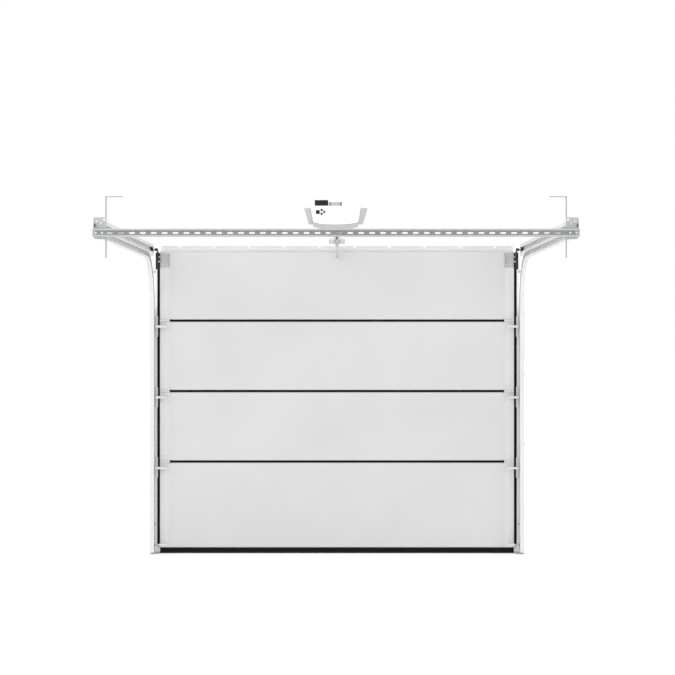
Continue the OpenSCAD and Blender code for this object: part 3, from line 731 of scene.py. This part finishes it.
# ---------------------------------------------------------------------------
# Drive belt. A reinforced rubber strap with moulded teeth on its inside, which
# runs round the sprocket in the head and the idler pulley at the wall.
# ---------------------------------------------------------------------------
belt_low, belt_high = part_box("drive_belt")
belt_turn = (belt_high.x - belt_low.x) / 2 - 0.0006
belt_mid_z = (belt_low.z + belt_high.z) / 2
belt_ends = (belt_low.y + belt_turn + 0.0006, belt_high.y - belt_turn - 0.0006)
belt_path = bpy.data.curves.new("belt_path", "CURVE")
belt_path.dimensions = "3D"
loop_points = (arc((0.0, belt_ends[1]), belt_turn, 0, 180, 16)
               + arc((0.0, belt_ends[0]), belt_turn, 180, 360, 16))
belt_spline = belt_path.splines.new("POLY")
belt_spline.points.add(len(loop_points) - 1)
for spline_point, (x, y) in zip(belt_spline.points, loop_points):
    spline_point.co = (x, y, belt_mid_z, 1.0)
belt_spline.use_cyclic_u = True


def belt_tree():
    """Geometry Nodes: a flat strap along the path, and a tooth every pitch on its inside."""
    tree = bpy.data.node_groups.new("toothed_belt", "GeometryNodeTree")
    face = tree.interface
    face.new_socket("Geometry", in_out="OUTPUT", socket_type="NodeSocketGeometry")
    for name, kind in (("Path", "NodeSocketGeometry"), ("Width", "NodeSocketFloat"),
                       ("Pitch", "NodeSocketFloat"), ("Finish", "NodeSocketMaterial")):
        face.new_socket(name, in_out="INPUT", socket_type=kind)
    new, link = tree.nodes.new, tree.links.new
    given = new("NodeGroupInput").outputs
    section = new("GeometryNodeCurvePrimitiveQuadrilateral")
    section.inputs[0].default_value = 0.0010
    link(given["Width"], section.inputs[1])
    strap = new("GeometryNodeCurveToMesh")
    link(given["Path"], strap.inputs[0])
    link(section.outputs[0], strap.inputs[1])
    spaced = new("GeometryNodeResampleCurve")
    spaced.mode = "LENGTH"
    link(given["Path"], spaced.inputs["Curve"])
    link(given["Pitch"], spaced.inputs["Length"])
    tooth_size = new("ShaderNodeCombineXYZ")
    tooth_size.inputs[0].default_value = 0.0024
    tooth_size.inputs[1].default_value = 0.0016
    link(given["Width"], tooth_size.inputs[2])
    tooth = new("GeometryNodeMeshCube")
    link(tooth_size.outputs[0], tooth.inputs["Size"])
    inward = new("GeometryNodeTransform")
    inward.inputs["Translation"].default_value = (0.0, 0.0009, 0.0)
    link(tooth.outputs[0], inward.inputs["Geometry"])
    tangent = new("GeometryNodeInputTangent")
    along = new("FunctionNodeAlignRotationToVector")
    along.axis = "X"
    along.pivot_axis = "Z"
    link(tangent.outputs[0], along.inputs["Vector"])
    teeth = new("GeometryNodeInstanceOnPoints")
    link(spaced.outputs[0], teeth.inputs["Points"])
    link(inward.outputs[0], teeth.inputs["Instance"])
    link(along.outputs[0], teeth.inputs["Rotation"])
    joined = new("GeometryNodeJoinGeometry")
    link(teeth.outputs[0], joined.inputs[0])
    link(strap.outputs[0], joined.inputs[0])
    real = new("GeometryNodeRealizeInstances")
    link(joined.outputs[0], real.inputs[0])
    coat = new("GeometryNodeSetMaterial")
    link(real.outputs[0], coat.inputs["Geometry"])
    link(given["Finish"], coat.inputs["Material"])
    link(coat.outputs[0], new("NodeGroupOutput").inputs[0])
    return tree


toothed_belt = grown("toothed_belt", belt_path, belt_tree(), "frame", "black_rubber", epdm,
                     {"Width": belt_high.z - belt_low.z, "Pitch": 0.005, "Finish": epdm.material})
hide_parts("drive_belt")

# ---------------------------------------------------------------------------
# Moving parts on the rail: light grey moulded trolley and release lever, zinc
# belt clamp, punched steel door arm, sprocket and idler.
# ---------------------------------------------------------------------------
def moulding(name, dark, light, gloss):
    """Injection-moulded plastic with a fine spark-eroded grain."""
    plastic = Finish(name, Specular_IOR_Level=gloss)
    grain = plastic.noise(900.0, 2.0)
    plastic.set("Base Color", plastic.noise(30.0, 4.0).blend(dark, light))
    plastic.set("Roughness", 0.46 + 0.2 * grain)
    plastic.relief(grain, 0.00008, 0.6)
    return plastic


black_moulding = moulding("black_moulding", (0.006, 0.006, 0.007), (0.014, 0.014, 0.015), 0.2)
grey_moulding = moulding("grey_moulding", (0.50, 0.505, 0.51), (0.62, 0.625, 0.63), 0.4)
eased("trolley", 0.0016, "grey_plastic", grey_moulding, 3)
eased("release_lever", 0.0010, "grey_plastic", grey_moulding)
eased("door_arm", 0.0006, "steel", plated)
eased("belt_connector", 0.0008, "steel", plated)
eased("idler_pulley", 0.0008, "black_plastic", black_moulding)
eased("drive_sprocket", 0.0003, "steel", drawn_steel, 1)
fixings("trolley_screws", [(x, y, 2.184) for x in (-0.022, 0.022) for y in (-0.380, -0.330, -0.280)],
        0.0038, (math.pi, 0.0, 0.0), "trolley")

# ---------------------------------------------------------------------------
# Opener head. A gloss white moulding shaped like a boat, with rounded ends,
# holes for the keypad, a groove under it and a notch for the rail; a flat
# base plate closes its top.
# ---------------------------------------------------------------------------
gloss_white = Finish("gloss_white", Specular_IOR_Level=0.5, Coat_Weight=0.35, Coat_Roughness=0.12)
ripple = gloss_white.noise(55.0, 3.0)
gloss_white.set("Base Color", gloss_white.noise(9.0, 4.0).blend((0.80, 0.80, 0.795), (0.87, 0.87, 0.87)))
gloss_white.set("Roughness", 0.22 + 0.10 * ripple)
gloss_white.relief(ripple, 0.00005, 0.3)
head_low, head_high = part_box("head_cover")
TURN_Z = head_high.z - 0.122                   # height where the slanted sides meet the hull
LOW_HALF = head_high.x - 0.021                 # half width at that height


def boat(inset, rim):
    """X-Z outline of the head, its sides moved inwards by inset and its top at height rim."""
    corner, steps, half, lid = 0.002, 48, head_high.x - inset, rim
    outline = arc((half - corner, lid - corner), corner, 0, 90, 6)
    outline += arc((-half + corner, lid - corner), corner, 90, 180, 6)
    turn = TURN_Z + inset * 0.8
    depth = turn - head_low.z - inset
    for i in range(steps + 1):
        a = math.pi * i / steps
        outline.append((-(LOW_HALF - inset) * math.cos(a), turn - depth * math.sin(a)))
    return outline


def lofted(name, rings):
    """Closed shell through rings of equal count, each (outline, y)."""
    shape = bmesh.new()
    loops = [[shape.verts.new((x, y, z)) for x, z in outline] for outline, y in rings]
    count = len(loops[0])
    for near, far in zip(loops, loops[1:]):
        for i in range(count):
            j = (i + 1) % count
            shape.faces.new((near[i], near[j], far[j], far[i]))
    for loop in (loops[0], loops[-1]):
        shape.faces.new(loop)
    bmesh.ops.recalc_face_normals(shape, faces=shape.faces)
    mesh = bpy.data.meshes.new(name)
    shape.to_mesh(mesh)
    shape.free()
    return mesh


def rounded_ends(y0, y1, radius, steps=6):
    """(inset, y) stations of a bar along Y whose two ends are rounded."""
    turns = [math.radians(90.0 * i / steps) for i in range(steps + 1)]
    near = [(radius * (1 - math.sin(a)), y0 + radius * (1 - math.cos(a))) for a in turns]
    far = [(radius * (1 - math.sin(a)), y1 - radius * (1 - math.cos(a))) for a in reversed(turns)]
    return near + far


WALL = 0.003
END_ROUND = 0.013                              # radius where the sides meet the end faces
cover_rings = [(boat(inset, head_high.z), y) for inset, y in rounded_ends(head_low.y, head_high.y, END_ROUND)]
cover_mesh = lofted("cover_outside", cover_rings)
cover = bpy.data.objects.new("head_cover_shell", cover_mesh)
bpy.context.scene.collection.objects.link(cover)


def cutter_box(name, low, high):
    """Block between two corners, for cutting."""
    return extruded(name, [(low[0], low[2]), (high[0], low[2]), (high[0], high[2]), (low[0], high[2])],
                    low[1], high[1], "Y")


def cut(target, mesh):
    """Takes a mesh out of target with an exact Boolean."""
    tool = bpy.data.objects.new("cutter", mesh)
    bpy.context.scene.collection.objects.link(tool)
    boolean = target.modifiers.new("cut", "BOOLEAN")
    boolean.operation = "DIFFERENCE"
    boolean.solver = "EXACT"
    boolean.object = tool
    bpy.context.view_layer.update()
    graph = bpy.context.evaluated_depsgraph_get()
    left = bpy.data.meshes.new_from_object(target.evaluated_get(graph))
    target.modifiers.remove(boolean)
    target.data = left
    bpy.data.objects.remove(tool)


face_y = head_low.y
inner = [(boat(inset + WALL, head_high.z + 0.004), y) for inset, y in
         rounded_ends(head_low.y + WALL, head_high.y - WALL, END_ROUND - WALL)]
cut(cover, lofted("cover_inside", inner))
key_y = (face_y - 0.01, face_y + 0.01)
square_low, square_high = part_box("square_button")
cut(cover, cutter_box("square_hole", (square_low.x - 0.0004, key_y[0], square_low.z - 0.0004),
                      (square_high.x + 0.0004, key_y[1], square_high.z + 0.0004)))
round_keys = ("up_button", "centre_button", "down_button")
for key in round_keys:
    key_low, key_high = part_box(key)
    middle = ((key_low.x + key_high.x) / 2, (key_low.z + key_high.z) / 2)
    cut(cover, extruded("key_hole", arc(middle, (key_high.x - key_low.x) / 2 + 0.0004, 0, 350, 35),
                        *key_y, "Y"))
cut(cover, cutter_box("groove", (-0.098, face_y - 0.01, 2.1404), (-0.058, face_y + 0.0012, 2.1418)))
back_y = (head_high.y - 0.012, head_high.y + 0.010)
cut(cover, cutter_box("rail_notch", (-0.024, back_y[0], 2.199), (0.024, back_y[1], 2.246)))
cut(cover, cutter_box("inlet_hole", (0.068, back_y[0], 2.160), (0.102, back_y[1], 2.186)))
cover_final = cover.data
bpy.data.objects.remove(cover)
cover_piece = shown("head_cover_shell", cover_final, "frame", "white_gloss", gloss_white)
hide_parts("head_cover")
dress("head_base", gloss_white)

# ---------------------------------------------------------------------------
# Lamp cover. Grey translucent acrylic with a wing on each side of the head and
# a thin pan under it, fluted along its length to spread the light. The grey pan
# is painted shade: it stands for the shade under the head.
# ---------------------------------------------------------------------------
smoked = Finish("smoked_acrylic", Transmission_Weight=0.25, IOR=1.45, Specular_IOR_Level=0.45)
haze = smoked.noise(70.0, 4.0)
smoked.set("Base Color", haze.blend((0.54, 0.55, 0.56), (0.66, 0.67, 0.68)))
smoked.set("Roughness", 0.34 + 0.14 * haze)
smoked.relief(haze, 0.00008, 0.4)
lamp_low, lamp_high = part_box("lamp_lenses")
FLUTE_DEPTH = 0.0009
PAN_T = 0.0025                                 # thickness of the pan, the sheet of painted shade under the head
TOE_OUT, TOE_DROP = 0.004, 0.114               # wing's lower corner, from the head's top corner


def zigzag(first, last, count):
    """Points from one X-Z place to another, every second one set in by a flute's depth."""
    start, run = Vector(first), Vector(last) - Vector(first)
    inward = Vector((run.y, -run.x)).normalized() * FLUTE_DEPTH
    return [tuple(start + run * (i / count) + inward * (i % 2)) for i in range(count + 1)]


def lamp_outline(shrink):
    """Outer edge from wing to wing under the head, then back along the cover."""
    top = lamp_high.z - shrink
    slope = (head_high.x - LOW_HALF) / (head_high.z - TURN_Z)
    toe = (head_high.x + TOE_OUT - shrink, head_high.z - TOE_DROP + shrink)
    low_half = LOW_HALF + PAN_T - shrink
    heel = (low_half + slope * (toe[1] - TURN_Z), toe[1])
    wing = zigzag((lamp_high.x - shrink, top), toe, 40) + [heel]
    depth = TURN_Z - lamp_low.z - shrink
    # the pan under the head: a grey sheet of painted shade
    pan = []
    for i in range(121):
        a = math.pi * i / 120
        reach = depth - FLUTE_DEPTH * (i % 2)
        pan.append((low_half * math.cos(a), TURN_Z - reach * math.sin(a)))
    rim = LOW_HALF + slope * (top - TURN_Z) + 0.0006
    hull = TURN_Z - head_low.z + 0.0005
    inner_edge = [(-(LOW_HALF + 0.0005) * math.cos(math.pi * i / 48),
                   TURN_Z - hull * math.sin(math.pi * i / 48)) for i in range(49)]
    return wing + pan + [(-x, z) for x, z in reversed(wing)] + [(-rim, top)] + inner_edge + [(rim, top)]


lamp_rings = [(lamp_outline(inset), y) for inset, y in rounded_ends(lamp_low.y, lamp_high.y, 0.0005, 3)]
lamp_mesh = lofted("lamp_cover_and_shade_pan", lamp_rings)
lamp_shape = bmesh.new()
lamp_shape.from_mesh(lamp_mesh)
bmesh.ops.triangulate(lamp_shape, faces=[f for f in lamp_shape.faces if len(f.verts) > 4])
lamp_shape.to_mesh(lamp_mesh)
lamp_shape.free()
lamp_piece = shown("lamp_cover_and_shade_pan", lamp_mesh, "frame", "smoke_lens", smoked)
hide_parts("lamp_lenses")

# ---------------------------------------------------------------------------
# Face of the head: black display glass, a grey strip beside it that is lighter
# in its middle, and the keypad's domed keys.
# ---------------------------------------------------------------------------
glass = Finish("display_glass", Specular_IOR_Level=0.3, Coat_Weight=0.1, Coat_Roughness=0.05)
smear = glass.noise(60.0, 4.0)
glass.set("Base Color", smear.blend((0.004, 0.004, 0.005), (0.010, 0.010, 0.012)))
glass.set("Roughness", 0.12 + 0.16 * smear)
glass.relief(smear, 0.00003, 0.2)
strip_grey = Finish("strip_grey", Specular_IOR_Level=0.4)
strip_brush = strip_grey.noise(500.0, 3.0, (0.03, 1.0, 1.0))
strip_x = strip_grey.height("X")
middle_glow = strip_x.above(-0.034, -0.016) * (1.0 - strip_x.above(0.012, 0.032))
strip_grey.set("Base Color", (middle_glow + strip_brush * 0.15).blend((0.10, 0.10, 0.105),
                                                                      (0.46, 0.46, 0.47)))
strip_grey.set("Roughness", 0.34 + 0.2 * strip_brush)
strip_grey.relief(strip_brush, 0.00004, 0.4)
eased("display_window", 0.0007, "display", glass, 3)
eased("cover_strip", 0.0005, "strip", strip_grey, 2)
for key in ("square_button", *round_keys):
    eased(key, 0.0008, "black_plastic", black_moulding, 4)

# ---------------------------------------------------------------------------
# Inside and front of the head: motor with its gearbox, laminated transformer,
# circuit board and the inlet for a power lead.
# ---------------------------------------------------------------------------
laminated = Finish("laminated_core", Metallic=0.6)
plates = laminated.height("Y") * 900.0
layers = plates.maths("PINGPONG", plates, 1.0)
laminated.set("Base Color", layers.blend((0.10, 0.085, 0.070), (0.30, 0.27, 0.24)))
laminated.set("Roughness", 0.45 + 0.2 * laminated.noise(90.0))
laminated.relief(layers, 0.0003, 0.6)
board_green = Finish("solder_mask", Specular_IOR_Level=0.5)
traces = board_green.cells(240.0).above(0.30, 0.34)
board_green.set("Base Color", traces.blend((0.010, 0.090, 0.035), (0.020, 0.150, 0.060)))
board_green.set("Roughness", 0.28 + 0.2 * traces)
board_green.relief(traces, 0.00005, 0.5)
eased("motor", 0.0015, "steel", drawn_steel)
dress("transformer", laminated)
dress("control_board", board_green)
eased("inlet_socket", 0.0008, "black_plastic", black_moulding)
